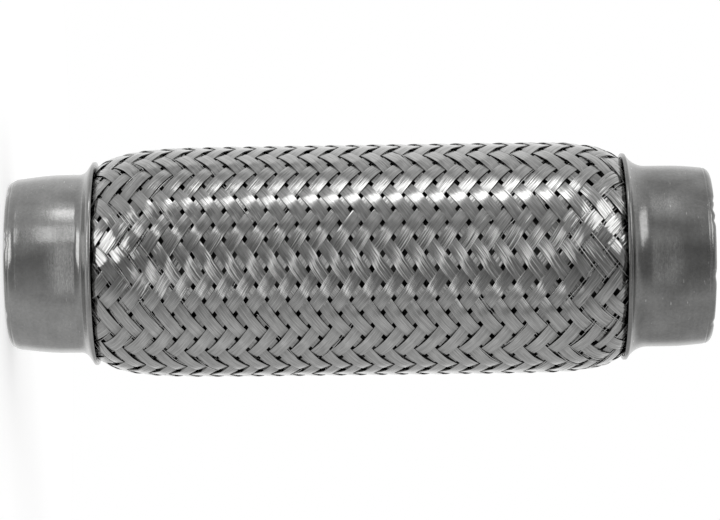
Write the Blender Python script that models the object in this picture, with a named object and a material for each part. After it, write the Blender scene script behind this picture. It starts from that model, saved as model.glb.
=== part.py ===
"""Exhaust flex pipe: a braided bellows coupling between two drawn end caps.

Metres. +Z runs along the pipe. The origin is the centre of the lower end ring, so the pipe
stands on its end. Lengths called "in" are measured from the pipe's nearer end, along its axis,
and sizes called "out" are how far a skin stands outside the bore.
"""
import math
from dataclasses import dataclass

import bmesh
import bpy

# Overall sizes
PIPE_LENGTH = 0.200
BORE_RADIUS = 0.0225
CLEARANCE = 0.0003

# End caps, drawn from one sheet each
CAP_SHEET = 0.0010
CAP_SEGMENTS = 32
INNER_SEGMENTS = 16
CREASE_DEPTH = 0.00015
CREASE_HALF_WIDTH = 0.0004

LOWER_END_OUT = 0.0006
LOWER_ROLL_LENGTH = 0.0034
LOWER_MOUTH_NECK_OUT = 0.0020
LOWER_NECK_OUT = 0.00305
LOWER_TAPER_LENGTH = 0.0155
LOWER_FLARE_LENGTH = 0.0049
LOWER_FLARE_RADIUS = 0.0030
LOWER_FLARE_ANGLE = 50.0
LOWER_LIP_OUT = 0.00665
LOWER_CAP_LENGTH = 0.0247

UPPER_END_OUT = 0.0015
UPPER_ROLL_LENGTH = 0.0022
UPPER_MOUTH_NECK_OUT = 0.0028
UPPER_NECK_OUT = 0.00343
UPPER_TAPER_LENGTH = 0.0120
UPPER_FLARE_LENGTH = 0.0070
UPPER_FLARE_RADIUS = 0.00675
UPPER_FLARE_ANGLE = 62.0
UPPER_LIP_OUT = 0.00715
UPPER_CAP_LENGTH = 0.0250

# Outer braid
CARRIERS_EACH_WAY = 24
BRAID_WALL = 0.0016
FLOAT_HEIGHT = 0.0007
LOWER_FREE_OUT = 0.0107
UPPER_FREE_OUT = 0.0110
LOWER_SETTLE_LENGTH = 0.0076
UPPER_SETTLE_LENGTH = 0.0062
BRAID_PITCH = 0.00593
PITCH_DRIFT = 0.0000136
PITCH_STRETCH = 0.0000007
BRAID_SHIFT = 0.0004
BRAID_TURN = -3.25
HEM_DEPTH = 0.0022
HEM_WALL = 0.0007
GAP_REACH = 0.0007
ROWS_BETWEEN_GAPS = 4
CARRIERS_BETWEEN_GAPS = 3

# Bellows
BELLOWS_WALL = 0.0005
CONVOLUTIONS = 10
ROOT_GAP = 0.0006
CUFF_LENGTH = 0.0150
CUFF_END = 0.0100
ROOT_SHARE = 0.22

# Strip-wound liner and its end sleeves
LINER_WALL = 0.0014
LINER_STEP = 0.0005
LINER_TURNS = 12
SLEEVE_WALL = 0.0005
SLEEVE_END = 0.0115
SLEEVE_FLANGE = 0.0012
SLEEVE_PAST_CUFF = 0.0020


# Share of a corner's radius that the flats of the braid's lining keep
FLAT_SHARE = math.cos(math.pi / CARRIERS_EACH_WAY)


@dataclass(frozen=True)
class CapShape:
    """Sizes of one end cap, with its mouth at zero and its open lip at the far end."""

    end_radius: float
    roll_length: float
    mouth_neck_radius: float
    neck_radius: float
    taper_length: float
    flare_start: float
    flare_radius: float
    flare_angle: float
    lip_radius: float
    length: float

    def roll_points(self, inset, steps):
        """Points along the rounded mouth edge, from the end face to the neck."""
        drop = self.mouth_neck_radius - self.end_radius
        curve = (self.roll_length ** 2 + drop ** 2) / (2.0 * drop)
        points = []
        for step in range(steps + 1):
            along = self.roll_length * step / steps
            height = math.sqrt(curve ** 2 - (self.roll_length - along) ** 2)
            points.append((along, self.mouth_neck_radius - curve + height - inset))
        return points

    def flare_points(self, inset, steps):
        """Points along the flare's concave arc, on the outer skin or set in by the sheet."""
        swing = self.flare_radius + inset
        centre = self.neck_radius + self.flare_radius
        points = []
        for step in range(steps + 1):
            angle = math.radians(self.flare_angle) * step / steps
            along = self.flare_start + swing * math.sin(angle)
            points.append((along, centre - swing * math.cos(angle)))
        return points

    def lip_start(self):
        """Where the lip's short straight band begins."""
        return self.length - CAP_SHEET

    def outer_skin(self):
        """Outer profile from the end face to the lip, as (distance in, radius) points."""
        crease = self.roll_length + 2.0 * CREASE_HALF_WIDTH
        skin = self.roll_points(0.0, 2)
        skin.append((crease, self.mouth_neck_radius - CREASE_DEPTH))
        skin.append((crease + CREASE_HALF_WIDTH, self.mouth_neck_radius))
        skin.append((self.taper_length, self.neck_radius))
        skin += self.flare_points(0.0, 3)
        skin.append((self.lip_start(), self.lip_radius))
        skin.append((self.length, self.lip_radius))
        return rising(skin)

    def inner_skin(self):
        """Inner profile from the mouth to the lip, one sheet thickness inside the outer one."""
        skin = [(0.0, BORE_RADIUS)]
        skin.append((CAP_SHEET, BORE_RADIUS))
        skin.append((self.roll_length, self.mouth_neck_radius - CAP_SHEET - CREASE_DEPTH))
        skin.append((self.taper_length, self.neck_radius - CAP_SHEET))
        skin += self.flare_points(CAP_SHEET, 3)
        skin.append((self.length, self.lip_radius - CAP_SHEET))
        return rising(skin)

    def bore_at(self, distance):
        """Inner radius of the cap at a distance in from the pipe's end."""
        return radius_along(self.inner_skin(), distance)


def rising(points):
    """Keep the points that move on along the axis and don't pass the last one."""
    last = points[-1]
    kept = [points[0]]
    for point in points[1:]:
        if point[0] > kept[-1][0] + 0.0001 and point[0] < last[0]:
            kept.append(point)
    kept.append(last)
    return kept


def radius_along(skin, distance):
    """Radius of a profile at a distance, by straight lines between its points."""
    for start, end in zip(skin, skin[1:]):
        if start[0] <= distance <= end[0]:
            share = (distance - start[0]) / (end[0] - start[0])
            return start[1] + share * (end[1] - start[1])
    return skin[-1][1]


LOWER_CAP = CapShape(
    end_radius=BORE_RADIUS + LOWER_END_OUT,
    roll_length=LOWER_ROLL_LENGTH,
    mouth_neck_radius=BORE_RADIUS + LOWER_MOUTH_NECK_OUT,
    neck_radius=BORE_RADIUS + LOWER_NECK_OUT,
    taper_length=LOWER_TAPER_LENGTH,
    flare_start=LOWER_CAP_LENGTH - LOWER_FLARE_LENGTH,
    flare_radius=LOWER_FLARE_RADIUS,
    flare_angle=LOWER_FLARE_ANGLE,
    lip_radius=BORE_RADIUS + LOWER_LIP_OUT,
    length=LOWER_CAP_LENGTH,
)
UPPER_CAP = CapShape(
    end_radius=BORE_RADIUS + UPPER_END_OUT,
    roll_length=UPPER_ROLL_LENGTH,
    mouth_neck_radius=BORE_RADIUS + UPPER_MOUTH_NECK_OUT,
    neck_radius=BORE_RADIUS + UPPER_NECK_OUT,
    taper_length=UPPER_TAPER_LENGTH,
    flare_start=UPPER_CAP_LENGTH - UPPER_FLARE_LENGTH,
    flare_radius=UPPER_FLARE_RADIUS,
    flare_angle=UPPER_FLARE_ANGLE,
    lip_radius=BORE_RADIUS + UPPER_LIP_OUT,
    length=UPPER_CAP_LENGTH,
)


def clear_scene():
    """Remove every object that the file opened with."""
    for item in list(bpy.data.objects):
        bpy.data.objects.remove(item, do_unlink=True)


def metal(name, colour, roughness):
    """A plain metal finish."""
    material = bpy.data.materials.new(name)
    material.use_nodes = True
    shader = material.node_tree.nodes["Principled BSDF"]
    shader.inputs["Base Color"].default_value = (*colour, 1.0)
    shader.inputs["Metallic"].default_value = 1.0
    shader.inputs["Roughness"].default_value = roughness
    return material


def add_object(name, mesh, material, sharp_angle):
    """Turn a finished bmesh into a named object."""
    bmesh.ops.recalc_face_normals(mesh, faces=mesh.faces)
    data = bpy.data.meshes.new(name)
    mesh.to_mesh(data)
    mesh.free()
    data.shade_smooth()
    data.set_sharp_from_angle(angle=math.radians(sharp_angle))
    data.materials.append(material)
    item = bpy.data.objects.new(name, data)
    bpy.context.scene.collection.objects.link(item)
    return item


def turned_piece(name, profile, segments, material):
    """Spin a closed profile of (height, radius) points round the pipe's axis."""
    mesh = bmesh.new()
    loop = [mesh.verts.new((radius, 0.0, height)) for height, radius in profile]
    edges = [mesh.edges.new((loop[i], loop[(i + 1) % len(loop)])) for i in range(len(loop))]
    bmesh.ops.spin(
        mesh,
        geom=loop + edges,
        cent=(0.0, 0.0, 0.0),
        axis=(0.0, 0.0, 1.0),
        angle=math.tau,
        steps=segments,
        use_merge=True,
        use_duplicate=False,
    )
    return add_object(name, mesh, material, 40.0)


def flipped(profile):
    """Turn a profile measured in from the lower end into one measured from the upper end."""
    return [(PIPE_LENGTH - height, radius) for height, radius in profile]


def end_cap(name, shape, upper, material):
    """One drawn cap: rounded mouth, tapered neck, flare and open lip."""
    profile = shape.outer_skin() + shape.inner_skin()[::-1]
    if upper:
        profile = flipped(profile)
    return turned_piece(name, profile, CAP_SEGMENTS, material)


def row_height(row):
    """Height of a row of crossings. Rows open out a little towards the ends."""
    turns = (row - 1) / 2.0
    rise = BRAID_PITCH * turns + PITCH_DRIFT * turns ** 2 + PITCH_STRETCH * turns ** 3
    return PIPE_LENGTH / 2.0 + BRAID_SHIFT + rise


def tuck_radius(shape):
    """Radius of the braid where it passes under a cap's lip."""
    return shape.lip_radius - CAP_SHEET - 1.5 * CLEARANCE


def free_radius(height):
    """Outer radius of the braid between the lips, where it springs out into a barrel."""
    share = height / PIPE_LENGTH
    settled = BORE_RADIUS + LOWER_FREE_OUT + share * (UPPER_FREE_OUT - LOWER_FREE_OUT)
    below = (height - LOWER_CAP.length) / LOWER_SETTLE_LENGTH
    above = (PIPE_LENGTH - UPPER_CAP.length - height) / UPPER_SETTLE_LENGTH
    lower_pull = (settled - tuck_radius(LOWER_CAP)) * math.exp(-below)
    upper_pull = (settled - tuck_radius(UPPER_CAP)) * math.exp(-above)
    return settled - lower_pull - upper_pull


def braid_ring(mesh, height, radius, depth, places):
    """One ring of the braid, with its radius lowered by depth(place) at each place."""
    ring = []
    for place in places:
        angle = math.pi * place / CARRIERS_EACH_WAY + math.radians(BRAID_TURN)
        reach = radius - depth(place)
        ring.append(mesh.verts.new((reach * math.cos(angle), reach * math.sin(angle), height)))
    return ring


def weave_band(mesh, lower, upper, row):
    """Faces between two rows of crossings, creased along the floats of a two-by-two twill."""
    count = len(lower)
    for place in range(count):
        after = (place + 1) % count
        column = place % 4
        if column == 0:
            rising_fold = True
        elif column == 2:
            rising_fold = False
        else:
            rising_fold = (place + row) % 2 == 1
        if rising_fold:
            mesh.faces.new((lower[place], lower[after], upper[after]))
            mesh.faces.new((lower[place], upper[after], upper[place]))
        else:
            mesh.faces.new((lower[place], lower[after], upper[place]))
            mesh.faces.new((lower[after], upper[after], upper[place]))


def plain_band(mesh, lower, upper):
    """Faces between two rings with as many points each."""
    count = len(lower)
    for place in range(count):
        after = (place + 1) % count
        mesh.faces.new((lower[place], lower[after], upper[after], upper[place]))


def closing_band(mesh, wide, narrow):
    """Faces between a ring and one with half as many points, at the braid's cut ends."""
    count = len(narrow)
    for place in range(count):
        after = (place + 1) % count
        left = wide[2 * place]
        middle = wide[2 * place + 1]
        right = wide[(2 * place + 2) % len(wide)]
        mesh.faces.new((narrow[place], left, middle))
        mesh.faces.new((narrow[place], middle, narrow[after]))
        mesh.faces.new((narrow[after], middle, right))


def hem_rings(mesh, shape, upper, places, inset):
    """Rings of the braid's crimped end, from its cut edge under the flare out to the lip."""
    rings = []
    for share in (0.0, 0.5, 1.0):
        distance = shape.length - HEM_DEPTH * (1.0 - share)
        radius = shape.bore_at(distance) - 2.5 * CLEARANCE * (1.0 - share)
        radius = min(radius, tuck_radius(shape))
        if inset:
            seat = (cuff_outer_radius(shape) + CLEARANCE) / FLAT_SHARE
            radius = max(radius - inset, seat)
        height = PIPE_LENGTH - distance if upper else distance
        rings.append(braid_ring(mesh, height, radius, lambda place: 0.0, places))
    return rings[::-1] if upper else rings


def open_gap(mesh, outer_corner, inner_corner):
    """Cut one gap through the wall at a pair of facing points."""
    rims = []
    for corner in (outer_corner, inner_corner):
        made = bmesh.ops.bevel(
            mesh,
            geom=[corner],
            offset=GAP_REACH,
            offset_type="OFFSET",
            affect="VERTICES",
            segments=1,
            profile=0.5,
            material=-1,
        )
        fresh = set(made["verts"])
        window = next(face for face in made["faces"] if set(face.verts) <= fresh)
        rims += list(window.edges)
        bmesh.ops.delete(mesh, geom=[window], context="FACES_ONLY")
    bmesh.ops.bridge_loops(mesh, edges=rims)


def outer_braid(material):
    """The woven tube: float ridges in herringbone rows, gaps between carriers, crimped hems."""
    mesh = bmesh.new()
    places = range(2 * CARRIERS_EACH_WAY)
    inner_places = range(1, 2 * CARRIERS_EACH_WAY, 2)
    shallow = 2.0 * CLEARANCE
    rows = []
    for row in range(-200, 200):
        height = row_height(row)
        if LOWER_CAP.length + shallow < height < PIPE_LENGTH - UPPER_CAP.length - shallow:
            rows.append(row)

    rings = hem_rings(mesh, LOWER_CAP, False, places, 0.0)
    lattice = {}
    for row in rows:
        height = row_height(row)
        sunk = {place: FLOAT_HEIGHT * ((place + row) % 2) for place in places}
        lattice[row] = braid_ring(mesh, height, free_radius(height), sunk.get, places)
    upper_hem = hem_rings(mesh, UPPER_CAP, True, places, 0.0)
    for lower, upper in zip(rings, rings[1:] + [lattice[rows[0]]]):
        plain_band(mesh, lower, upper)
    for row in rows[:-1]:
        weave_band(mesh, lattice[row], lattice[row + 1], row)
    for lower, upper in zip([lattice[rows[-1]]] + upper_hem, upper_hem):
        plain_band(mesh, lower, upper)

    gap_rows = [row for row in rows[2:-2] if row % ROWS_BETWEEN_GAPS == 2]
    wall_rows = [row for row in rows[1:-1] if row % ROWS_BETWEEN_GAPS == 2]
    wall_rows += [row for row in rows[:6] + rows[-6:] if row % ROWS_BETWEEN_GAPS == 0]
    wall_rings = {}
    for row in sorted(set(wall_rows)):
        height = row_height(row)
        radius = free_radius(height) - BRAID_WALL
        wall_rings[row] = braid_ring(mesh, height, radius, lambda place: 0.0, inner_places)
    lower_lining = hem_rings(mesh, LOWER_CAP, False, inner_places, HEM_WALL)
    upper_lining = hem_rings(mesh, UPPER_CAP, True, inner_places, HEM_WALL)
    lining = lower_lining + list(wall_rings.values()) + upper_lining
    for lower, upper in zip(lining, lining[1:]):
        plain_band(mesh, lower, upper)
    closing_band(mesh, rings[0][1:] + rings[0][:1], lining[0])
    closing_band(mesh, upper_hem[-1][1:] + upper_hem[-1][:1], lining[-1])

    for row in gap_rows:
        for index, place in enumerate(inner_places):
            if (index + row // ROWS_BETWEEN_GAPS) % CARRIERS_BETWEEN_GAPS == 0:
                open_gap(mesh, lattice[row][place], wall_rings[row][index])
    return add_object("outer_braid", mesh, material, 12.0)


def cuff_outer_radius(shape):
    """Outer radius of the bellows' cuff, which sits in the cap's neck."""
    return shape.bore_at(CUFF_END) - CLEARANCE


def root_radius():
    """Outer radius of the bellows' roots, which lie close over the liner."""
    return BORE_RADIUS + LINER_WALL + ROOT_GAP + BELLOWS_WALL


def crest_radius(height):
    """Outer radius of the bellows' crests, which the braid lies on."""
    return (free_radius(height) - BRAID_WALL) * FLAT_SHARE - 3.0 * CLEARANCE


def bellows_skin(inset):
    """Profile of the corrugated tube, on its outer skin or set in by its wall."""
    cuff_top = CUFF_END + CUFF_LENGTH
    first = cuff_top + SLEEVE_PAST_CUFF + SLEEVE_FLANGE
    span = PIPE_LENGTH - 2.0 * first
    pitch = span / CONVOLUTIONS
    half = ROOT_SHARE * pitch
    skin = [(CUFF_END, cuff_outer_radius(LOWER_CAP) - inset)]
    skin.append((cuff_top, cuff_outer_radius(LOWER_CAP) - inset))
    skin.append((cuff_top + 2.0 * BELLOWS_WALL, root_radius() - inset))
    for turn in range(CONVOLUTIONS):
        crest = first + pitch * (turn + 0.5)
        top = crest_radius(crest) - inset
        flank = pitch / 2.0 - half - inset * 0.8
        skin.append((crest - flank, root_radius() - inset))
        skin.append((crest - half + inset * 0.8, top))
        skin.append((crest + half - inset * 0.8, top))
        skin.append((crest + flank, root_radius() - inset))
    skin.append((PIPE_LENGTH - cuff_top - 2.0 * BELLOWS_WALL, root_radius() - inset))
    skin.append((PIPE_LENGTH - cuff_top, cuff_outer_radius(UPPER_CAP) - inset))
    skin.append((PIPE_LENGTH - CUFF_END, cuff_outer_radius(UPPER_CAP) - inset))
    return skin


def bellows(material):
    """Gas-tight corrugated tube with a plain cuff at each end."""
    profile = bellows_skin(0.0) + bellows_skin(BELLOWS_WALL)[::-1]
    return turned_piece("bellows", profile, INNER_SEGMENTS, material)


def liner_end():
    """How far in from the pipe's end the strip-wound liner starts."""
    return CUFF_END + CUFF_LENGTH + SLEEVE_PAST_CUFF + CLEARANCE


def liner_sleeve(name, shape, upper, material):
    """Plain ring inside the cuff, with a flange that the liner's end turn is welded to."""
    outer = cuff_outer_radius(shape) - BELLOWS_WALL - CLEARANCE
    inner = outer - SLEEVE_WALL
    top = liner_end() - CLEARANCE
    shoulder = top - SLEEVE_FLANGE
    profile = [(SLEEVE_END, outer), (shoulder, outer)]
    profile += [(shoulder, BORE_RADIUS + LINER_WALL), (top, BORE_RADIUS + LINER_WALL)]
    profile += [(top, BORE_RADIUS), (shoulder, BORE_RADIUS), (shoulder, inner), (SLEEVE_END, inner)]
    if upper:
        profile = flipped(profile)
    return turned_piece(name, profile, INNER_SEGMENTS, material)


def interlock_liner(material):
    """Strip-wound liner: each turn of the strip laps over the next one like a shingle."""
    start = liner_end()
    pitch = (PIPE_LENGTH - 2.0 * start) / LINER_TURNS
    high = BORE_RADIUS + LINER_WALL
    profile = []
    for turn in range(LINER_TURNS):
        profile.append((start + pitch * turn, high - LINER_STEP))
        profile.append((start + pitch * (turn + 0.85), high))
    profile.append((PIPE_LENGTH - start, high - LINER_STEP))
    profile.append((PIPE_LENGTH - start, BORE_RADIUS))
    profile.append((start, BORE_RADIUS))
    return turned_piece("interlock_liner", profile, INNER_SEGMENTS, material)


def main():
    """Build every piece of the pipe."""
    clear_scene()
    cap_steel = metal("Drawn stainless sheet", (0.50, 0.50, 0.49), 0.32)
    braid_steel = metal("Braided stainless wire", (0.56, 0.56, 0.56), 0.28)
    bellows_steel = metal("Thin stainless sheet", (0.48, 0.47, 0.45), 0.30)
    liner_steel = metal("Wound stainless strip", (0.42, 0.42, 0.41), 0.40)
    end_cap("lower_end_cap", LOWER_CAP, False, cap_steel)
    end_cap("upper_end_cap", UPPER_CAP, True, cap_steel)
    outer_braid(braid_steel)
    bellows(bellows_steel)
    interlock_liner(liner_steel)
    liner_sleeve("lower_liner_sleeve", LOWER_CAP, False, liner_steel)
    liner_sleeve("upper_liner_sleeve", UPPER_CAP, True, liner_steel)


main()
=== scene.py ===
"""Looks of the exhaust flex pipe: woven stainless braid, drawn end caps, bellows and liner."""
import logging
import math
from dataclasses import dataclass, field
from enum import Enum

import bmesh
import bpy
import numpy as np
from mathutils import Matrix, Vector


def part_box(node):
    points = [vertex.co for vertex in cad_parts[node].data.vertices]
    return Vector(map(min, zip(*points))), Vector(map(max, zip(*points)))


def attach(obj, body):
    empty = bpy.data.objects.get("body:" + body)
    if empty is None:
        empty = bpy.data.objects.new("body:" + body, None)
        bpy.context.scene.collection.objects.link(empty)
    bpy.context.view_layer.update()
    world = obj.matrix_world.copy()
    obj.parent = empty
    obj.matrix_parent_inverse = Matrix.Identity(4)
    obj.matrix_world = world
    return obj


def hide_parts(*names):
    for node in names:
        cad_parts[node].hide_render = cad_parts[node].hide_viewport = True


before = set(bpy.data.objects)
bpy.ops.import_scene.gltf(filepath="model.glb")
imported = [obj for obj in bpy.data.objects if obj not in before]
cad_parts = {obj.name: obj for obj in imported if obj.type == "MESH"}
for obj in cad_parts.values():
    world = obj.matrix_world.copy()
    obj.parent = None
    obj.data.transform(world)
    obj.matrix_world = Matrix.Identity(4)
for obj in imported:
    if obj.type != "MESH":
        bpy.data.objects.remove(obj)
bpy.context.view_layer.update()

MM = 0.001
WELD = 0.01 * MM
LOG = logging.getLogger("flex_pipe")

# Numbers of the mix node's colour sockets, which share their names with others
COLOUR_A = 6
COLOUR_B = 7
COLOUR_OUT = 2

LOWER_CAP_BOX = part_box("lower_end_cap")
UPPER_CAP_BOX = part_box("upper_end_cap")
PIPE_LENGTH = UPPER_CAP_BOX[1][2] / MM
LOWER_LIP = LOWER_CAP_BOX[1][2] / MM
UPPER_LIP = UPPER_CAP_BOX[0][2] / MM
PIPE_MIDDLE = Vector((0.0, 0.0, 0.5 * PIPE_LENGTH * MM))


class Hand(Enum):
    """Which way a strand turns as it climbs the pipe."""

    RIGHT = 1
    LEFT = -1


class End(Enum):
    """Which end of the pipe a piece belongs to."""

    LOWER = "lower"
    UPPER = "upper"


def linear(code: str) -> tuple[float, float, float, float]:
    """Turn an sRGB hex colour into linear values.

    Args:
        code: Six hex digits after a hash sign.

    Returns:
        Linear red, green, blue and an alpha of one.
    """
    values = []
    for place in (1, 3, 5):
        share = int(code[place:place + 2], 16) / 255.0
        values.append(share / 12.92 if share <= 0.04045 else ((share + 0.055) / 1.055) ** 2.4)
    return (values[0], values[1], values[2], 1.0)


def add_node(tree: bpy.types.NodeTree, kind: str, inputs: dict | None = None, **settings) -> bpy.types.Node:
    """Add one node with its settings, and set or link its inputs.

    Args:
        tree: The node tree that gets the node.
        kind: Blender's type name of the node.
        inputs: Input names or indices, each with a value or an output socket to link.
        settings: Attributes of the node itself.

    Returns:
        The new node.
    """
    node = tree.nodes.new(kind)
    for name, value in settings.items():
        setattr(node, name, value)
    for name, value in (inputs or {}).items():
        if isinstance(value, bpy.types.NodeSocket):
            tree.links.new(value, node.inputs[name])
        else:
            node.inputs[name].default_value = value
    return node


@dataclass(frozen=True)
class WovenWire:
    """Braided stainless wire: bright drawn wire, each with its own tone, with painted shade where strands
    cross and in the grooves between wires.
    """

    name: str = "Braided stainless wire"
    bright: str = "#d9d9d8"
    dull: str = "#b6b6b5"
    shade: str = "#6a6a69"
    roughness: float = 0.10
    lengthwise: float = 0.3
    tone_scale: float = 3.1
    tone_along: float = 0.05
    dull_below: float = 0.32
    bright_above: float = 0.62

    def material(self) -> bpy.types.Material:
        """Build the node material.

        Returns:
            A metal whose tone varies from wire to wire, darkened by painted shade in the crossings and
            grooves.
        """
        material = bpy.data.materials.new(self.name)
        material.use_nodes = True
        tree = material.node_tree
        shader = tree.nodes["Principled BSDF"]
        shader.inputs["Metallic"].default_value = 1.0
        shader.inputs["Roughness"].default_value = self.roughness
        shader.inputs["Anisotropic"].default_value = self.lengthwise
        lie = add_node(tree, "ShaderNodeTangent", direction_type="UV_MAP", uv_map="wire")
        tree.links.new(lie.outputs[0], shader.inputs["Tangent"])
        uv = add_node(tree, "ShaderNodeUVMap", uv_map="wire")
        parts = add_node(tree, "ShaderNodeSeparateXYZ", {0: uv.outputs["UV"]})
        wire = add_node(tree, "ShaderNodeMath", {0: parts.outputs["X"]}, operation="FLOOR")
        along = add_node(
            tree, "ShaderNodeMath", {0: parts.outputs["Y"], 1: self.tone_along}, operation="MULTIPLY",
        )
        place = add_node(tree, "ShaderNodeCombineXYZ", {0: wire.outputs[0], 1: along.outputs[0]})
        tone = add_node(
            tree, "ShaderNodeTexNoise",
            {"Vector": place.outputs[0], "Scale": self.tone_scale, "Detail": 2.0, "Roughness": 0.6},
        )
        ramp = add_node(tree, "ShaderNodeValToRGB", {"Fac": tone.outputs["Fac"]})
        low, high = ramp.color_ramp.elements
        low.position = self.dull_below
        low.color = linear(self.dull)
        high.position = self.bright_above
        high.color = linear(self.bright)
        # Painted shade: an attribute from the braid mixes the wire toward the shade colour where bands pass
        # under others and in the grooves between wires
        crossing_shade = add_node(tree, "ShaderNodeAttribute", attribute_name="crossing_shade")
        mix = add_node(
            tree, "ShaderNodeMix",
            {
                "Factor": crossing_shade.outputs["Fac"],
                COLOUR_A: ramp.outputs["Color"],
                COLOUR_B: linear(self.shade),
            },
            data_type="RGBA",
        )
        tree.links.new(mix.outputs[COLOUR_OUT], shader.inputs["Base Color"])
        return material


@dataclass(frozen=True)
class DrawnSheet:
    """Drawn stainless sheet: satin, softly mottled, with faint rings, short scratches and specks.

    Pattern sizes are in millimetres, two across the pipe and one along it. The real sheet's drawing
    lines are a few hundredths of a millimetre apart, and the grain is as coarse as it needs to
    show in the render.
    """

    name: str
    light: str
    dark: str
    roughness: float
    scored: str = "#d0d0cf"
    ring_mm: tuple[float, float, float] = (33.33, 33.33, 1.9)
    ring_share: float = 0.35
    cloud_mm: float = 9.0
    speck_mm: float = 0.8
    speck_share: float = 0.5
    contrast: float = 0.24
    smoother: float = 0.05
    rougher: float = 0.07
    scratch_mm: tuple[float, float, float] = (2.381, 2.381, 0.5263)
    scratch_turn: tuple[float, float, float] = (0.5, 0.3, 0.7)
    scratched: tuple[float, float] = (0.74, 0.80)
    grain_mm: tuple[float, float, float] = (3.846, 3.846, 0.1923)
    relief: float = 0.16
    relief_mm: float = 0.05

    def material(self) -> bpy.types.Material:
        """Build the node material.

        Returns:
            A satin metal with soft clouds of tone, faint rings round the axis and small marks.
        """
        material = bpy.data.materials.new(self.name)
        material.use_nodes = True
        tree = material.node_tree
        shader = tree.nodes["Principled BSDF"]
        shader.inputs["Metallic"].default_value = 1.0
        where = add_node(tree, "ShaderNodeTexCoord").outputs["Object"]
        cloud = add_node(
            tree, "ShaderNodeTexNoise",
            {"Vector": where, "Scale": 1.0 / (self.cloud_mm * MM), "Detail": 3.0},
        )
        speck = add_node(
            tree, "ShaderNodeTexNoise",
            {"Vector": where, "Scale": 1.0 / (self.speck_mm * MM), "Detail": 2.0},
        )
        tone = self.colour(tree, where, cloud.outputs["Fac"], speck.outputs["Fac"])
        tree.links.new(tone, shader.inputs["Base Color"])
        rough = add_node(
            tree, "ShaderNodeMapRange",
            {
                "Value": cloud.outputs["Fac"],
                "To Min": self.roughness - self.smoother,
                "To Max": self.roughness + self.rougher,
            },
        )
        tree.links.new(rough.outputs[0], shader.inputs["Roughness"])
        fine = add_node(tree, "ShaderNodeMapping", {"Vector": where, "Scale": self.steps(self.grain_mm)})
        grain = add_node(
            tree, "ShaderNodeTexNoise",
            {"Vector": fine.outputs[0], "Scale": 1.0, "Detail": 2.0, "Roughness": 0.6},
        )
        height = add_node(
            tree, "ShaderNodeMath",
            {0: speck.outputs["Fac"], 1: 2.0, 2: grain.outputs["Fac"]}, operation="MULTIPLY_ADD",
        )
        bump = add_node(
            tree, "ShaderNodeBump",
            {"Height": height.outputs[0], "Strength": self.relief, "Distance": self.relief_mm * MM},
        )
        tree.links.new(bump.outputs[0], shader.inputs["Normal"])
        return material

    @staticmethod
    def steps(sizes: tuple[float, float, float]) -> tuple[float, ...]:
        """Turn a pattern's sizes in millimetres into steps a metre."""
        return tuple(1.0 / (size * MM) for size in sizes)

    def colour(self, tree: bpy.types.NodeTree, where: bpy.types.NodeSocket, cloud: bpy.types.NodeSocket,
               speck: bpy.types.NodeSocket) -> bpy.types.NodeSocket:
        """Mix the sheet's tones from rings, clouds and specks, with scratches over them.

        Args:
            tree: The material's node tree.
            where: Socket with the place on the object.
            cloud: Socket of the cloudy noise.
            speck: Socket of the fine noise.

        Returns:
            The colour's socket.
        """
        rings = add_node(tree, "ShaderNodeMapping", {"Vector": where, "Scale": self.steps(self.ring_mm)})
        broad = add_node(
            tree, "ShaderNodeTexNoise", {"Vector": rings.outputs[0], "Scale": 1.0, "Detail": 2.0},
        )
        soft = add_node(
            tree, "ShaderNodeMath",
            {0: broad.outputs["Fac"], 1: self.ring_share, 2: cloud}, operation="MULTIPLY_ADD",
        )
        both = add_node(
            tree, "ShaderNodeMath",
            {0: speck, 1: self.speck_share, 2: soft.outputs[0]}, operation="MULTIPLY_ADD",
        )
        centre = 0.5 * (1.0 + self.speck_share + self.ring_share)
        tone = add_node(
            tree, "ShaderNodeMapRange",
            {
                "Value": both.outputs[0],
                "From Min": centre - self.contrast,
                "From Max": centre + self.contrast,
            },
        )
        sheet = add_node(
            tree, "ShaderNodeMix",
            {"Factor": tone.outputs[0], COLOUR_A: linear(self.dark), COLOUR_B: linear(self.light)},
            data_type="RGBA",
        )
        ticks = add_node(
            tree, "ShaderNodeMapping",
            {"Vector": where, "Rotation": self.scratch_turn, "Scale": self.steps(self.scratch_mm)},
        )
        scratch = add_node(
            tree, "ShaderNodeTexNoise", {"Vector": ticks.outputs[0], "Scale": 1.0, "Detail": 1.0},
        )
        least, most = self.scratched
        worn = add_node(
            tree, "ShaderNodeMapRange",
            {"Value": scratch.outputs["Fac"], "From Min": least, "From Max": most},
        )
        scored = add_node(
            tree, "ShaderNodeMix",
            {
                "Factor": worn.outputs[0],
                COLOUR_A: sheet.outputs[COLOUR_OUT],
                COLOUR_B: linear(self.scored),
            },
            data_type="RGBA",
        )
        return scored.outputs[COLOUR_OUT]


def finish_piece(mesh: bmesh.types.BMesh, name: str, material: bpy.types.Material,
                 replaced: str, angle: float | None = 40.0) -> bpy.types.Object:
    """Turn a bmesh into a dressed piece that rides on the pipe.

    Args:
        mesh: The finished shape, which is freed.
        name: The piece's name.
        material: Its finish.
        replaced: The CAD node that the piece stands for.
        angle: Edges sharper than this are shaded sharp. None keeps the mesh's own marks.

    Returns:
        The new object.
    """
    data = bpy.data.meshes.new(name)
    mesh.to_mesh(data)
    mesh.free()
    if angle is not None:
        data.shade_smooth()
        data.set_sharp_from_angle(angle=math.radians(angle))
    data.materials.append(material)
    piece = bpy.data.objects.new(name, data)
    bpy.context.scene.collection.objects.link(piece)
    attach(piece, "root")
    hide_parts(replaced)
    LOG.info("%s: %d faces", name, len(data.polygons))
    return piece


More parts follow.
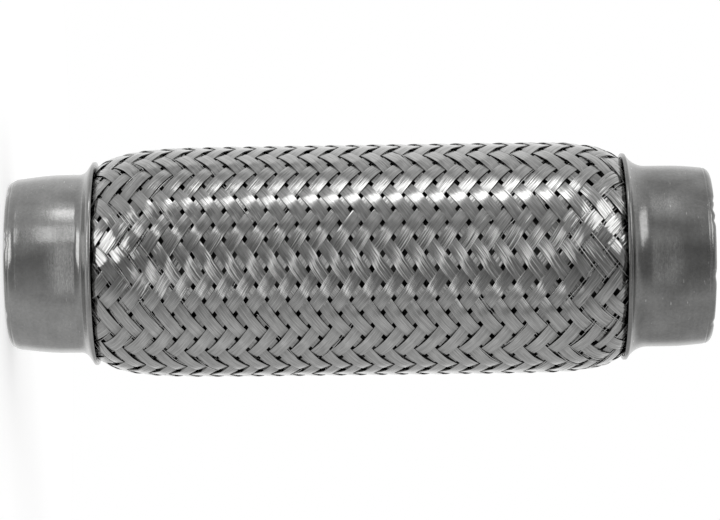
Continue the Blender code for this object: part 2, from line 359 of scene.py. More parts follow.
def turned(profile: list[tuple[float, float]], steps: int) -> bmesh.types.BMesh:
    """Spin a closed profile round the pipe's axis.

    Args:
        profile: Points of (height, radius) in millimetres, in order round the section.
        steps: Facets in a full turn.

    Returns:
        A closed bmesh in metres with its faces pointing out.
    """
    mesh = bmesh.new()
    loop = [mesh.verts.new((radius * MM, 0.0, height * MM)) for height, radius in profile]
    edges = [mesh.edges.new((loop[i], loop[(i + 1) % len(loop)])) for i in range(len(loop))]
    bmesh.ops.spin(
        mesh, geom=loop + edges, cent=(0.0, 0.0, 0.0), axis=(0.0, 0.0, 1.0),
        angle=math.tau, steps=steps, use_merge=True, use_duplicate=False,
    )
    bmesh.ops.recalc_face_normals(mesh, faces=mesh.faces)
    return mesh


def tube(around: int, rows: int) -> bmesh.types.BMesh:
    """A straight closed tube on a unit circle, to be bent along a path.

    A corner's angle gives its place round the section, and its height its row along the tube.

    Args:
        around: Corners round the section.
        rows: Spaces along the tube.

    Returns:
        A bmesh with a UV map of half corners round and rows along.
    """
    mesh = bmesh.new()
    bmesh.ops.create_grid(mesh, x_segments=around, y_segments=rows, size=0.5)
    layer = mesh.loops.layers.uv.new("wire")
    for face in mesh.faces:
        for loop in face.loops:
            column = (loop.vert.co.x + 0.5) * around
            loop[layer].uv = (column / 2.0, (loop.vert.co.y + 0.5) * rows)
    for corner in mesh.verts:
        angle = math.tau * (corner.co.x + 0.5)
        step = (corner.co.y + 0.5) * rows
        corner.co = (math.cos(angle), math.sin(angle), step)
    bmesh.ops.remove_doubles(mesh, verts=mesh.verts, dist=0.0001)
    bmesh.ops.holes_fill(mesh, edges=[edge for edge in mesh.edges if edge.is_boundary])
    for face in mesh.faces:
        face.smooth = True
    return mesh


@dataclass(frozen=True)
class Knock:
    """A small nick in a cap's rim, at a turn in degrees from the camera's side upwards."""

    turn: float
    width: float
    depth: float


@dataclass
class CapShape:
    """Section of one end cap in millimetres, measured in from the pipe's own end."""

    end: End
    end_radius: float
    roll_length: float
    crease_radius: float
    neck_radius: float
    taper_length: float
    flare_start: float
    flare_radius: float
    flare_angle: float
    lip_radius: float
    length: float
    sheet: float = 1.0
    bore: float = 22.5
    groove_at: float = 1.3
    groove_depth: float = 0.14
    groove_width: float = 0.2
    roll_steps: int = 24
    taper_steps: int = 8
    outer_arc_steps: int = 14
    inner_arc_steps: int = 10
    lip_band: float = 0.9
    lip_clear: float = 0.3
    lip_sag: float = 0.05
    lip_shoulder: tuple[float, float] = (0.25, 0.06)
    lip_edge: tuple[float, float] = (0.15, 0.12)
    inner_edge: float = 0.1
    inner_sag: float = 0.05
    mouth_land: float = 0.4
    mouth_ease: float = 0.15
    least_step: float = 0.02
    facets: int = 180
    sharp_angle: float = 50.0
    knock_reach: float = 2.0
    knocks: tuple[Knock, ...] = ()
    skin: list[tuple[float, float]] = field(default_factory=list)

    def __post_init__(self) -> None:
        """Work out the inner skin once, for the pieces that fit in it."""
        self.skin = self.inner_skin()

    def arc(self, inset: float, steps: int) -> list[tuple[float, float]]:
        """Points of the flare's concave arc, at a distance inside the outer skin.

        Args:
            inset: How far inside the outer skin the arc lies.
            steps: Spaces between the points.

        Returns:
            Points of (distance in, radius).
        """
        swing = self.flare_radius + inset
        centre = self.neck_radius + self.flare_radius
        points = []
        for step in range(steps + 1):
            angle = math.radians(self.flare_angle) * step / steps
            points.append((self.flare_start + swing * math.sin(angle), centre - swing * math.cos(angle)))
        return points

    def outer_skin(self) -> list[tuple[float, float]]:
        """Outer profile from the end face to the lip.

        Returns:
            Points of (distance in, radius).
        """
        drop = self.crease_radius - self.end_radius
        curve = (self.roll_length ** 2 + drop ** 2) / (2.0 * drop)
        points = []
        for step in range(self.roll_steps + 1):
            along = self.roll_length * step / self.roll_steps
            height = math.sqrt(curve ** 2 - (self.roll_length - along) ** 2)
            groove = self.groove_depth * math.exp(-((along - self.groove_at) / self.groove_width) ** 2)
            points.append((along, self.crease_radius - curve + height - groove))
        for step in range(1, self.taper_steps + 1):
            share = step / self.taper_steps
            along = self.roll_length + share * (self.taper_length - self.roll_length)
            ease = math.sin(share * math.pi / 2.0)
            points.append((along, self.crease_radius + ease * (self.neck_radius - self.crease_radius)))
        points += self.arc(0.0, self.outer_arc_steps)
        last = points[-1]
        lip_start = self.length - self.lip_band * self.sheet
        if last[0] < lip_start - self.lip_clear:
            halfway = 0.5 * (last[1] + self.lip_radius)
            points.append((0.5 * (last[0] + lip_start), halfway - self.lip_sag))
        run, drop = self.lip_shoulder
        points.append((lip_start, self.lip_radius - drop))
        points.append((lip_start + run, self.lip_radius))
        run, drop = self.lip_edge
        points.append((self.length - run, self.lip_radius))
        points.append((self.length, self.lip_radius - drop))
        return self.rising(points)

    def inner_skin(self) -> list[tuple[float, float]]:
        """Inner profile from the mouth to the lip.

        Returns:
            Points of (distance in, radius).
        """
        points = [(0.0, self.bore), (self.mouth_land * self.sheet, self.bore)]
        points.append((self.sheet, self.bore + self.mouth_ease))
        points.append((self.roll_length, self.crease_radius - self.sheet - self.inner_edge))
        points.append((self.taper_length, self.neck_radius - self.sheet))
        points += self.arc(self.sheet, self.inner_arc_steps)
        under_lip = self.lip_radius - self.sheet
        points.append((self.length - self.inner_edge, under_lip - self.inner_sag))
        points.append((self.length, under_lip + self.inner_edge))
        return self.rising(points)

    def rising(self, points: list[tuple[float, float]]) -> list[tuple[float, float]]:
        """Keep the points that move on along the axis.

        Args:
            points: Points of (distance in, radius).

        Returns:
            The first and last point, and those between that lie far enough apart.
        """
        kept = [points[0]]
        for point in points[1:-1]:
            if kept[-1][0] + self.least_step < point[0] < points[-1][0] - self.least_step:
                kept.append(point)
        return kept + [points[-1]]

    def bore_at(self, distance: np.ndarray) -> np.ndarray:
        """Inner radius of the cap.

        Args:
            distance: Distances in from the pipe's end.

        Returns:
            The radius at each distance.
        """
        along, radius = zip(*self.skin)
        return np.interp(distance, along, radius)

    def placed(self, points: list[tuple[float, float]]) -> list[tuple[float, float]]:
        """Turn distances in from the cap's own end into heights.

        Args:
            points: Points of (distance in, radius).

        Returns:
            Points of (height, radius).
        """
        if self.end is End.LOWER:
            return points
        return [(PIPE_LENGTH - along, radius) for along, radius in points]

    def build(self, finish: bpy.types.Material) -> bpy.types.Object:
        """Make the cap and its small knocks.

        Args:
            finish: The cap's material.

        Returns:
            The cap as a dressed piece.
        """
        mesh = turned(self.placed(self.outer_skin() + self.inner_skin()[::-1]), self.facets)
        inward = 1.0 if self.end is End.LOWER else -1.0
        mouth = 0.0 if self.end is End.LOWER else PIPE_LENGTH
        for corner in mesh.verts:
            distance = inward * (corner.co.z / MM - mouth)
            if distance > self.knock_reach:
                continue
            turn = math.degrees(math.atan2(-corner.co.x, -corner.co.y))
            for knock in self.knocks:
                share = math.exp(-((turn - knock.turn) / knock.width) ** 2)
                share = share * (1.0 - distance / self.knock_reach)
                corner.co.z += inward * knock.depth * share * MM
        name = f"{self.end.value}_cap_sheet"
        node = f"{self.end.value}_end_cap"
        return finish_piece(mesh, name, finish, node, self.sharp_angle)


LOWER_CAP = CapShape(
    end=End.LOWER, end_radius=23.1, roll_length=3.4, crease_radius=24.5, neck_radius=25.55,
    taper_length=15.5, flare_start=19.8, flare_radius=3.0, flare_angle=50.0,
    lip_radius=29.15, length=LOWER_LIP, groove_at=1.0,
    knocks=(Knock(14.0, 3.5, 0.55), Knock(21.0, 2.0, 0.4), Knock(-38.0, 3.0, 0.3), Knock(61.0, 4.0, 0.3),
            Knock(128.0, 5.0, 0.3), Knock(-140.0, 4.0, 0.4)),
)
UPPER_CAP = CapShape(
    end=End.UPPER, end_radius=24.0, roll_length=2.2, crease_radius=25.3, neck_radius=25.93,
    taper_length=12.0, flare_start=18.0, flare_radius=6.75, flare_angle=62.0,
    lip_radius=29.65, length=PIPE_LENGTH - UPPER_LIP, groove_at=1.7, groove_depth=0.18,
    knocks=(Knock(33.0, 3.0, 0.6), Knock(24.0, 2.0, 0.45), Knock(40.0, 2.0, 0.4), Knock(-14.0, 3.0, 0.3),
            Knock(-52.0, 2.5, 0.3), Knock(100.0, 4.0, 0.35), Knock(-160.0, 4.0, 0.4)),
)


@dataclass
class Braid:
    """The woven tube: carriers of flat wire bands, each passing over two and under two.

    A crossing's place is given by its step round the pipe and its row along it. All sizes are
    millimetres, and widths across a band are shares of the space between two carriers.
    """

    carriers: int = 24
    wires: int = 10
    along_each_crossing: int = 4
    band_share: float = 0.735
    dive: float = 0.20
    crown: float = 0.48
    wire_relief: float = 0.013
    band_thickness: float = 0.34
    band_bow: float = 0.03
    under_edge: float = 0.93
    dive_from: float = 0.78
    dive_over: float = 0.44
    arch_round: float = 0.12
    lower_radius: float = 33.0
    upper_radius: float = 33.3
    lower_settle: float = 7.6
    upper_settle: float = 6.2
    lip_gap: float = 0.45
    skin_gap: float = 0.5
    pitch: float = 5.93
    drift: float = 0.0136
    stretch: float = 0.0007
    shift: float = 0.4
    turn: float = -3.25
    hem: float = 2.0
    row_reach: float = 60.0
    row_samples: int = 4801
    drift_waves: tuple[float, ...] = (31.0, 13.0, 5.3)
    width_drift: float = 0.02
    path_drift: float = 0.018
    wire_drift: float = 0.006
    drift_height: float = 0.6
    end_narrowing: float = 0.05
    lift_range: tuple[float, float] = (-0.05, 0.3)
    lower_loose: float = 3.5
    upper_loose: float = 4.5
    upper_share: float = 1.4
    # Painted shade on the bands: under where they dive, and in the grooves, sides and underside
    shade_under: float = 0.55
    shade_edge: float = 0.35
    tone_gap: float = 40.0
    band_space: float = 4.9
    strays: int = 170
    stray_sides: int = 6
    stray_radius: float = 0.13
    stray_steps: float = 5.0
    stray_length: tuple[float, float] = (2.0, 6.5)
    stray_side: tuple[float, float] = (0.36, 0.52)
    stray_tilt: float = 0.10
    stray_bow: float = 0.05
    stray_lift: float = 0.35
    stray_past_lip: float = 0.6
    stray_away: float = 3.0
    near_upper_lip: float = 0.5
    near_any_lip: float = 0.85
    seed: int = 7

    def height(self, row: np.ndarray) -> np.ndarray:
        """Height of each row of crossings, which open out a little towards the ends."""
        turns = (row - 1.0) / 2.0
        rise = self.pitch * turns + self.drift * turns ** 2 + self.stretch * turns ** 3
        return PIPE_LENGTH / 2.0 + self.shift + rise

    def row_at(self, height: float) -> float:
        """Row whose crossings lie at a height."""
        rows = np.linspace(-self.row_reach, self.row_reach, self.row_samples)
        return float(np.interp(height, self.height(rows), rows))

    def radius(self, height: np.ndarray) -> np.ndarray:
        """Outer radius of the braid: a barrel between the lips, tucked in under the caps.

        Args:
            height: Heights above the pipe's lower end.

        Returns:
            The radius over the highest wires at each height.
        """
        free = self.lower_radius + height / PIPE_LENGTH * (self.upper_radius - self.lower_radius)
        lower_tuck = LOWER_CAP.lip_radius - LOWER_CAP.sheet - self.lip_gap
        upper_tuck = UPPER_CAP.lip_radius - UPPER_CAP.sheet - self.lip_gap
        lower = (free - lower_tuck) * np.exp(-(height - LOWER_LIP) / self.lower_settle)
        upper = (free - upper_tuck) * np.exp(-(UPPER_LIP - height) / self.upper_settle)
        barrel = free - lower - upper
        under_lower = LOWER_CAP.bore_at(height) - self.skin_gap
        under_upper = UPPER_CAP.bore_at(PIPE_LENGTH - height) - self.skin_gap
        barrel = np.where(height < LOWER_LIP, np.minimum(under_lower, lower_tuck), barrel)
        return np.where(height > UPPER_LIP, np.minimum(under_upper, upper_tuck), barrel)

    def template(self, rows: int) -> bpy.types.Mesh:
        """One straight band as a closed tube, to be laid along each carrier's path.

        The tube stands on a unit circle, so a corner's angle gives its place round the band's
        section and its height gives its place along the band.

        Args:
            rows: Spaces along the band.

        Returns:
            A mesh with a UV map that counts wires across and rows along.
        """
        around = self.around()
        band = tube(around, rows)
        for edge in band.edges:
            first, second = edge.verts
            if abs(first.co.z - second.co.z) > 0.5:
                column = round(math.atan2(first.co.y, first.co.x) / math.tau * around) % around
                edge.smooth = not (column % 2 == 0 or column >= 2 * self.wires)
        data = bpy.data.meshes.new("band")
        band.to_mesh(data)
        band.free()
        return data

    def around(self) -> int:
        """Corners round a band's section: two for each wire, and four for the underside."""
        return 2 * self.wires + 4

    def section(self, column: np.ndarray) -> tuple[np.ndarray, np.ndarray, np.ndarray]:
        """Place of each corner in a band's section.

        Args:
            column: The corner's number round the section.

        Returns:
            The share across the band from -1 to 1, the drop below the wires' tops, and the
            number of the nearest wire.
        """
        top = 2 * self.wires
        across = np.where(column <= top, 2.0 * column / top - 1.0, 0.0)
        drop = np.where((column % 2 == 0) & (column <= top), self.wire_relief, 0.0)
        under = {top + 1: self.under_edge, top + 2: 0.0, top + 3: -self.under_edge}
        for number, share in under.items():
            across = np.where(column == number, share, across)
            drop = np.where(column == number, self.band_thickness, drop)
        return across, drop, np.clip(column // 2, 0, self.wires - 1)

    def wander(self, rng: np.random.Generator, along: np.ndarray, size: float) -> np.ndarray:
        """A slow random drift along a band.

        Args:
            rng: The random source.
            along: Rows along the band.
            size: Rough height of the drift.

        Returns:
            The drift at each row.
        """
        total = np.zeros_like(along)
        for wavelength in self.drift_waves:
            phase = rng.uniform(0.0, math.tau)
            total += rng.normal(0.0, self.drift_height) * np.sin(math.tau * along / wavelength + phase)
        return size * total

    def lay(self, hand: Hand, carrier: int, data: bpy.types.Mesh, rng: np.random.Generator) -> None:
        """Lay the template band along one carrier's path.

        Args:
            hand: Which way the carrier turns.
            carrier: Its number round the pipe.
            data: A copy of the template, which is bent in place.
            rng: The random source.
        """
        count = len(data.vertices)
        corners = np.empty(count * 3)
        data.vertices.foreach_get("co", corners)
        corners = corners.reshape(count, 3)
        around = self.around()
        column = np.rint(np.arctan2(corners[:, 1], corners[:, 0]) / math.tau * around) % around
        first = self.row_at(LOWER_LIP - self.hem) - 1.0
        row = first + corners[:, 2] / self.along_each_crossing
        across, drop, wire = self.section(column)

        ends = np.clip(self.looseness(row), 0.0, 1.0)
        spread = self.wander(rng, row, self.width_drift) * (1.0 + 3.0 * ends)
        half = 0.5 * self.band_share * (1.0 + spread - self.end_narrowing * ends)
        middle = self.wander(rng, row, self.path_drift) * (1.0 + 2.5 * ends)
        wire_shift = np.zeros(count)
        wire_lift = np.zeros(count)
        loose = 1.0 + 4.0 * ends
        for number in range(self.wires):
            mine = wire == number
            wire_shift[mine] = self.wander(rng, row[mine], self.wire_drift) * loose[mine]
            wire_lift[mine] = self.wander(rng, row[mine], self.wire_drift) * loose[mine]
        on_top = drop < self.wire_relief + 0.01
        offset = middle + across * half + np.where(on_top, wire_shift, 0.0)

        sink, arch = self.over_and_under(hand, carrier, row)
        depth = self.dive * sink + self.crown * arch + drop + self.band_bow * across ** 2
        depth = np.maximum(depth + np.clip(wire_lift, *self.lift_range), 0.0)
        data.vertices.foreach_set("co", self.place(hand, carrier, row, offset, depth).ravel())

        # Painted shade in the colour: darker where a band dives under another, and on top in the grooves
        # between wires and on the band's sides and underside
        edge = self.shade_edge * (drop > 0.0) * (1.0 - sink)
        shade = np.clip(self.shade_under * sink + edge, 0.0, 1.0)
        crossing_shade = data.attributes.new("crossing_shade", "FLOAT", "POINT")
        crossing_shade.data.foreach_set("value", shade)
        layer = data.uv_layers["wire"]
        places = np.empty(len(data.loops) * 2)
        layer.uv.foreach_get("vector", places)
        places = places.reshape(-1, 2)
        first_tone = 1 if hand is Hand.RIGHT else 101
        places[:, 0] += self.tone_gap * (carrier + first_tone)
        layer.uv.foreach_set("vector", places.ravel())

    def looseness(self, row: np.ndarray) -> np.ndarray:
        """How far the strands are out of order at each row, which is most at the two lips."""
        lower = np.exp(-(row - self.row_at(LOWER_LIP)) / self.lower_loose)
        upper = np.exp(-(self.row_at(UPPER_LIP) - row) / self.upper_loose)
        return lower + self.upper_share * upper

    def over_and_under(self, hand: Hand, carrier: int, row: np.ndarray) -> tuple[np.ndarray, np.ndarray]:
        """Weave of one carrier: two crossings over, then two under.

        Args:
            hand: Which way the carrier turns.
            carrier: Its number round the pipe.
            row: Rows along the carrier.

        Returns:
            How far the band has dived, from 0 on top to 1 underneath, and its arch over a float.
        """
        step = 2.0 * carrier + hand.value * row
        over = 0.5 if hand is Hand.RIGHT else 2.5
        phase = np.abs((step - over + 2.0) % 4.0 - 2.0)
        ease = np.clip((phase - self.dive_from) / self.dive_over, 0.0, 1.0)
        sink = ease * ease * (3.0 - 2.0 * ease)
        return sink, np.hypot(np.minimum(phase, 1.0), self.arch_round) - self.arch_round

    def place(self, hand: Hand, carrier: int, row: np.ndarray, offset: np.ndarray,
              depth: np.ndarray) -> np.ndarray:
        """Turn places on a carrier into points in space.

        Args:
            hand: Which way the carrier turns.
            carrier: Its number round the pipe.
            row: Rows along the carrier.
            offset: Sideways distance from the carrier's middle, in shares of a carrier space.
            depth: Distance below the braid's top in millimetres.

        Returns:
            One point in metres for each row.
        """
        height = self.height(row - hand.value * offset)
        height = np.clip(height, LOWER_LIP - self.hem, UPPER_LIP + self.hem)
        radius = np.minimum(self.radius(height) - depth, self.upper_radius)
        angle = math.pi * (2.0 * carrier + hand.value * row + offset) / self.carriers
        angle = angle + math.radians(self.turn)
        return np.column_stack((radius * np.cos(angle), radius * np.sin(angle), height)) * MM

    def stray(self, rng: np.random.Generator) -> bmesh.types.BMesh:
        """One loose wire that has slipped out of its band, mostly near a lip.

        Args:
            rng: The random source.

        Returns:
            The wire as a closed tube.
        """
        hand = Hand.RIGHT if rng.random() < 0.5 else Hand.LEFT
        carrier = int(rng.integers(self.carriers))
        length = rng.uniform(*self.stray_length)
        lowest = self.row_at(LOWER_LIP) - self.stray_past_lip
        highest = self.row_at(UPPER_LIP) + self.stray_past_lip
        away = rng.exponential(self.stray_away)
        where = rng.random()
        if where < self.near_upper_lip:
            start = highest - length - away
        elif where < self.near_any_lip:
            start = lowest + away
        else:
            start = rng.uniform(lowest, highest - length)
        rows = math.ceil(length * self.stray_steps)
        mesh = tube(self.stray_sides, rows)
        corners = np.array([corner.co[:] for corner in mesh.verts])
        swing = np.arctan2(corners[:, 1], corners[:, 0])
        share = corners[:, 2] / rows
        row = start + length * share
        arc = np.sin(math.pi * share)
        side = rng.choice((-1.0, 1.0)) * rng.uniform(*self.stray_side)
        side = side + rng.normal(0.0, self.stray_tilt) * (share - 0.5)
        side = side + rng.normal(0.0, self.stray_bow) * arc
        sink, arch = self.over_and_under(hand, carrier, row)
        loose = min(1.0, float(self.looseness(np.array([start + 0.5 * length]))[0]))
        lift = (0.02 + rng.uniform(0.0, self.stray_lift) * loose) * arc
        depth = self.dive * sink * (1.0 - 0.5 * loose) + self.crown * arch + self.stray_radius - lift
        offset = side + self.stray_radius * np.cos(swing) / self.band_space
        depth = depth - self.stray_radius * np.sin(swing)
        points = self.place(hand, carrier, row, offset, depth)
        for corner, point in zip(mesh.verts, points):
            corner.co = point
        tone = float(rng.uniform(0.0, 900.0))
        layer = mesh.loops.layers.uv["wire"]
        for face in mesh.faces:
            for loop in face.loops:
                loop[layer].uv.x = tone
        bmesh.ops.recalc_face_normals(mesh, faces=mesh.faces)
        return mesh

    def build_strays(self, finish: bpy.types.Material) -> bpy.types.Object:
        """Make the loose wires as one piece.

        Args:
            finish: The wires' material.

        Returns:
            The loose wires as a dressed piece.
        """
        rng = np.random.default_rng(self.seed + 1)
        group = bmesh.new()
        for _ in range(self.strays):
            wire = self.stray(rng)
            data = bpy.data.meshes.new("stray")
            wire.to_mesh(data)
            wire.free()
            group.from_mesh(data)
            bpy.data.meshes.remove(data)
        return finish_piece(group, "stray_wires", finish, "outer_braid", None)

    def build(self, finish: bpy.types.Material) -> list[bpy.types.Object]:
        """Make every band, in groups of carriers that stay light enough to keep whole.

        Args:
            finish: The wires' material.

        Returns:
            The groups as dressed pieces.
        """
        rng = np.random.default_rng(self.seed)
        first = self.row_at(LOWER_LIP - self.hem) - 1.0
        last = self.row_at(UPPER_LIP + self.hem) + 1.0
        rows = math.ceil((last - first) * self.along_each_crossing)
        template = self.template(rows)
        pieces = []
        for hand in Hand:
            for half in range(2):
                group = bmesh.new()
                for carrier in range(half, self.carriers, 2):
                    data = template.copy()
                    self.lay(hand, carrier, data, rng)
                    group.from_mesh(data)
                    bpy.data.meshes.remove(data)
                if hand is Hand.LEFT:
                    bmesh.ops.reverse_faces(group, faces=group.faces)
                name = f"braid_{hand.name.lower()}_hand_{'odd' if half else 'even'}"
                pieces.append(finish_piece(group, name, finish, "outer_braid", None))
        bpy.data.meshes.remove(template)
        pieces.append(self.build_strays(finish))
        return pieces


def section_of(node: str) -> list[tuple[float, float]]:
    """Read a turned CAD node's section, so that it can be spun again with more facets.

    Args:
        node: The CAD node's name.

    Returns:
        Points of (height, radius) in millimetres, in order round the section.
    """
    mesh = bmesh.new()
    mesh.from_mesh(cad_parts[node].data)
    bmesh.ops.remove_doubles(mesh, verts=mesh.verts, dist=WELD)
    cut = {corner for corner in mesh.verts if corner.co.x > 0.0 and abs(corner.co.y) < WELD}
    corner = min(cut, key=lambda each: each.index)
    points = []
    while corner is not None:
        cut.discard(corner)
        points.append((corner.co.z / MM, corner.co.x / MM))
        others = [edge.other_vert(corner) for edge in corner.link_edges]
        corner = next((other for other in others if other in cut), None)
    mesh.free()
    return points


@dataclass
class Core:
    """The hidden tubes inside the braid: bellows, strip-wound liner and its end sleeves."""

    bore: float = 22.5
    liner_wall: float = 1.4
    liner_turns: int = 12
    step_down: float = 0.5
    step_at: float = 0.85
    groove_depth: float = 0.35
    groove_foot: float = 0.06
    groove_end: float = 0.12
    steps: int = 96

    def build(self, liner: bpy.types.Material, sheet: bpy.types.Material) -> None:
        """Make the liner, sleeves and bellows.

        Args:
            liner: Finish of the wound strip and the sleeves.
            sheet: Material of the bellows, darkened as painted shade for the gaps in the braid.
        """
        low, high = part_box("interlock_liner")
        start, stop = low[2] / MM, high[2] / MM
        pitch = (stop - start) / self.liner_turns
        outer = self.bore + self.liner_wall
        profile = []
        for turn in range(self.liner_turns):
            profile.append((start + pitch * turn, outer - self.step_down))
            profile.append((start + pitch * (turn + self.step_at), outer))
        profile.append((stop, outer - self.step_down))
        for turn in reversed(range(self.liner_turns)):
            base = start + pitch * turn
            profile.append((base + pitch, self.bore))
            profile.append((base + self.groove_end * pitch, self.bore))
            profile.append((base + self.groove_foot * pitch, self.bore + self.groove_depth))
        profile.append((start, self.bore))
        finish_piece(turned(profile, self.steps), "wound_liner", liner, "interlock_liner")
        for end in End:
            node = f"{end.value}_liner_sleeve"
            mesh = turned(section_of(node), self.steps)
            finish_piece(mesh, f"{end.value}_sleeve_ring", liner, node)
        mesh = turned(section_of("bellows"), self.steps)
        finish_piece(mesh, "corrugated_tube", sheet, "bellows")


@dataclass(frozen=True)
class Lamp:
    """One soft lamp that faces the middle of the pipe. Its place is measured from there, in metres."""

    name: str
    place: tuple[float, float, float]
    size: tuple[float, float]
    radiance: float
    turn: float = 0.0

    def build(self) -> None:
        """Stand the lamp in its place, turned by its own angle in degrees."""
        data = bpy.data.lights.new(self.name, "AREA")
        data.shape = "RECTANGLE"
        data.size, data.size_y = self.size
        data.energy = self.radiance * math.pi * self.size[0] * self.size[1]
        lamp = bpy.data.objects.new(self.name, data)
        bpy.context.scene.collection.objects.link(lamp)
        offset = Vector(self.place)
        lamp.location = offset + PIPE_MIDDLE
        own = Matrix.Rotation(math.radians(self.turn), 3, "Z").to_quaternion()
        lamp.rotation_euler = (offset.to_track_quat("Z", "X") @ own).to_euler()


@dataclass
class Studio:
    """Floor, light and camera, all set from the photo's view of the pipe lying across it.

    The room's levels are given by turn in degrees: "middle" for directions square to the pipe's
    axis, and "sides" for those that lean along it. "aside" is the lean at which one goes over
    into the other, and "behind" is where the white background sets in behind the pipe.
    """

    camera_distance: float = 0.963
    lens: float = 167.6
    sensor: float = 36.0
    far_clip: float = 20.0
    roll: float = 0.77
    slant: float = 0.30
    lean_shift: float = 0.015
    aside: tuple[float, float] = (0.06, 0.11)
    behind: tuple[float, float] = (0.77, 0.91)
    floor_radius: float = 0.20
    floor_gap: float = 0.0002
    floor_glow: float = 0.5
    middle: tuple[tuple[float, float], ...] = (
        (-180.0, 0.85), (-152.0, 0.85), (-136.0, 0.5), (-104.0, 0.55), (-84.0, 0.65), (-70.0, 0.5),
        (-54.0, 0.45), (-48.0, 0.25), (-41.0, 0.3), (-35.0, 0.8), (-29.0, 1.0), (-8.0, 1.0),
        (-3.0, 0.95), (1.0, 1.0), (22.0, 1.0), (26.0, 0.7), (32.0, 0.6), (36.0, 0.2),
        (47.0, 0.17), (50.0, 0.5), (54.0, 0.55), (58.0, 1.0), (84.0, 1.0), (89.0, 0.4),
        (106.0, 0.35), (112.0, 0.8), (150.0, 0.85), (180.0, 0.85),
    )
    sides: tuple[tuple[float, float], ...] = (
        (-180.0, 0.85), (-152.0, 0.85), (-136.0, 0.55), (-104.0, 0.5), (-58.0, 0.52), (-45.0, 0.4),
        (-34.0, 0.32), (-24.0, 0.24), (8.0, 0.18), (20.0, 0.28), (46.0, 0.32), (52.0, 0.45),
        (74.0, 0.5), (88.0, 0.5), (112.0, 0.6), (150.0, 0.85), (180.0, 0.85),
    )
    lamps: tuple[Lamp, ...] = (
        Lamp("top strip", (-0.92, -0.37, -0.05), (0.34, 0.24), 1.5, 17.0),
        Lamp("left side", (-0.61, -0.75, -0.25), (0.20, 0.34), 1.0),
        Lamp("left end", (-0.26, -0.51, -0.82), (0.60, 0.56), 1.4),
        Lamp("right end", (-0.50, -0.47, 0.72), (0.60, 0.58), 1.3),
    )

    def camera(self) -> None:
        """Stand the camera square to the pipe, turned so that the pipe lies across the picture."""
        roll = math.radians(self.roll)
        axis = Vector((0.0, 0.0, 1.0))
        upward = Vector((-1.0, 0.0, 0.0))
        right = axis * math.cos(roll) - upward * math.sin(roll)
        up = axis * math.sin(roll) + upward * math.cos(roll)
        back = right.cross(up)
        data = bpy.data.cameras.new("camera")
        data.lens = self.lens
        data.sensor_width = self.sensor
        data.clip_end = self.far_clip
        camera = bpy.data.objects.new("camera", data)
        bpy.context.scene.collection.objects.link(camera)
        turn = Matrix((right, up, back)).transposed().to_4x4()
        camera.matrix_world = Matrix.Translation(PIPE_MIDDLE + back * self.camera_distance) @ turn
        bpy.context.scene.camera = camera

    @staticmethod
    def levels(tree: bpy.types.NodeTree, steps: tuple, share: bpy.types.NodeSocket) -> bpy.types.NodeSocket:
        """Add a ramp of the room's levels over a direction's turn.

        Args:
            tree: The world's node tree.
            steps: Turns in degrees, each with its level.
            share: Socket with the turn as a share of a whole circle.

        Returns:
            The ramp's colour socket.
        """
        ramp = add_node(tree, "ShaderNodeValToRGB", {"Fac": share})
        stops = ramp.color_ramp.elements
        stops.remove(stops[-1])
        stops[0].position = 0.0
        stops[0].color = (steps[0][1],) * 3 + (1.0,)
        for degrees, level in steps[1:]:
            stop = stops.new(degrees / 360.0 + 0.5)
            stop.color = (level, level, level, 1.0)
        return ramp.outputs["Color"]

    def world(self) -> None:
        """A white room that is darker on the camera's side, so that metal has something to mirror.

        A direction's turn is its angle round the pipe's axis, from the camera's side upwards in
        the picture. The background is white where it is seen directly, and where metal mirrors it
        behind the pipe.
        """
        world = bpy.data.worlds.new("room")
        bpy.context.scene.world = world
        world.use_nodes = True
        tree = world.node_tree
        tree.nodes.clear()
        path = add_node(tree, "ShaderNodeLightPath")
        where = add_node(tree, "ShaderNodeTexCoord")
        parts = add_node(tree, "ShaderNodeSeparateXYZ", {0: where.outputs["Generated"]})
        up = add_node(tree, "ShaderNodeMath", {0: parts.outputs["X"], 1: -1.0}, operation="MULTIPLY")
        front = add_node(tree, "ShaderNodeMath", {0: parts.outputs["Y"], 1: -1.0}, operation="MULTIPLY")
        turn = add_node(
            tree, "ShaderNodeMath", {0: up.outputs[0], 1: front.outputs[0]}, operation="ARCTAN2",
        )
        share = add_node(
            tree, "ShaderNodeMapRange",
            {"Value": turn.outputs[0], "From Min": -math.pi, "From Max": math.pi},
        )
        slant = add_node(
            tree, "ShaderNodeMath",
            {0: parts.outputs["Z"], 1: -self.slant / math.tau, 2: share.outputs[0]},
            operation="MULTIPLY_ADD",
        )
        along = add_node(
            tree, "ShaderNodeMath", {0: parts.outputs["Z"], 1: self.lean_shift}, operation="ADD",
        )
        lean = add_node(tree, "ShaderNodeMath", {0: along.outputs[0]}, operation="ABSOLUTE")
        least, most = self.aside
        aside = add_node(
            tree, "ShaderNodeMapRange", {"Value": lean.outputs[0], "From Min": least, "From Max": most},
            interpolation_type="SMOOTHSTEP",
        )
        room = add_node(
            tree, "ShaderNodeMix",
            {
                "Factor": aside.outputs[0],
                COLOUR_A: self.levels(tree, self.middle, slant.outputs[0]),
                COLOUR_B: self.levels(tree, self.sides, share.outputs[0]),
            },
            data_type="RGBA",
        )
        least, most = self.behind
        behind = add_node(
            tree, "ShaderNodeMapRange", {"Value": parts.outputs["Y"], "From Min": least, "From Max": most},
            interpolation_type="SMOOTHSTEP",
        )
        mirrored = add_node(
            tree, "ShaderNodeMath", {0: path.outputs["Is Glossy Ray"], 1: behind.outputs[0]},
            operation="MULTIPLY",
        )
        straight = add_node(
            tree, "ShaderNodeMath",
            {0: path.outputs["Is Camera Ray"], 1: path.outputs["Is Transmission Ray"]},
            operation="MAXIMUM",
        )
        seen = add_node(
            tree, "ShaderNodeMath", {0: straight.outputs[0], 1: mirrored.outputs[0]}, operation="MAXIMUM",
        )
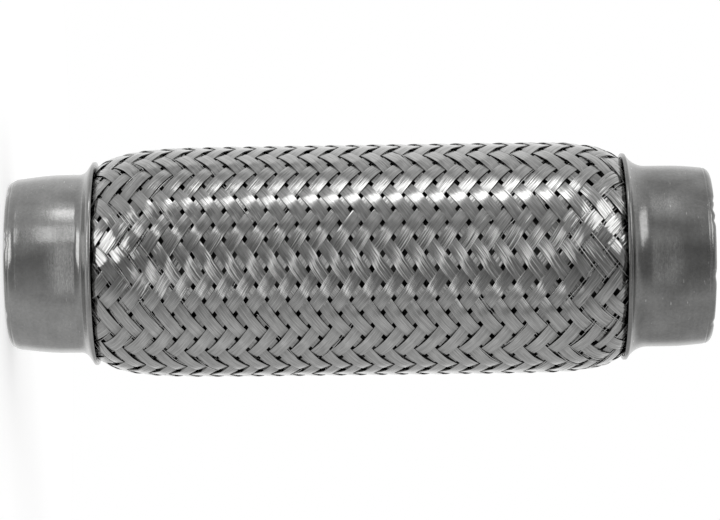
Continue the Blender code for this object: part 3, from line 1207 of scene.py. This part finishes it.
        level = add_node(
            tree, "ShaderNodeMix",
            {
                "Factor": seen.outputs[0],
                COLOUR_A: room.outputs[COLOUR_OUT],
                COLOUR_B: (1.0, 1.0, 1.0, 1.0),
            },
            data_type="RGBA",
        )
        light = add_node(
            tree, "ShaderNodeBackground", {"Color": level.outputs[COLOUR_OUT], "Strength": 1.0},
        )
        add_node(tree, "ShaderNodeOutputWorld", {"Surface": light.outputs[0]})

    def floor(self) -> None:
        """A plain white floor under the standing pipe, which keeps its shadow."""
        mesh = bmesh.new()
        bmesh.ops.create_circle(mesh, cap_ends=True, segments=96, radius=self.floor_radius)
        data = bpy.data.meshes.new("floor")
        mesh.to_mesh(data)
        mesh.free()
        material = bpy.data.materials.new("White floor")
        material.use_nodes = True
        tree = material.node_tree
        shader = tree.nodes["Principled BSDF"]
        shader.inputs["Base Color"].default_value = linear("#f4f4f4")
        shader.inputs["Roughness"].default_value = 0.9
        shader.inputs["Specular IOR Level"].default_value = 0.0
        shader.inputs["Emission Color"].default_value = (1.0, 1.0, 1.0, 1.0)
        shader.inputs["Emission Strength"].default_value = self.floor_glow
        data.materials.append(material)
        floor = bpy.data.objects.new("floor", data)
        floor.location = (0.0, 0.0, -self.floor_gap)
        floor.visible_glossy = False
        floor.visible_shadow = False
        bpy.context.scene.collection.objects.link(floor)

    def build(self) -> None:
        """Set up the whole studio."""
        bpy.context.scene.view_settings.view_transform = "Standard"
        self.camera()
        self.world()
        self.floor()
        for lamp in self.lamps:
            lamp.build()


# Bright drawn wire, nearly a mirror, with a tone of its own for each wire
BRAID_WIRE = WovenWire()
# Light, smooth satin sheet of the cap at the photo's left
SATIN_SHEET = DrawnSheet("Satin drawn stainless sheet", light="#b9b9b8", dark="#a3a3a2", roughness=0.19)
# Duller sheet with more wear, at the photo's right
SCUFFED_SHEET = DrawnSheet("Scuffed drawn stainless sheet", light="#a2a2a1", dark="#888887", roughness=0.20)
# Dark grey strip, seen only in the bore
LINER_STRIP = DrawnSheet("Wound stainless strip", light="#7a7a79", dark="#5c5c5b", roughness=0.38)
# Bellows sheet darkened to nearly black as painted shade, seen only through the gaps between the wires
BELLOWS_SHADE_SHEET = DrawnSheet("Thin formed stainless", light="#4a4a49", dark="#343433", roughness=0.45)


def main() -> None:
    """Build the pipe's looks in order, from the braid inwards."""
    logging.basicConfig(level=logging.INFO, format="%(name)s %(message)s")
    Braid().build(BRAID_WIRE.material())
    LOWER_CAP.build(SATIN_SHEET.material())
    UPPER_CAP.build(SCUFFED_SHEET.material())
    Core().build(LINER_STRIP.material(), BELLOWS_SHADE_SHEET.material())
    Studio().build()


if __name__ == "__main__":
    main()
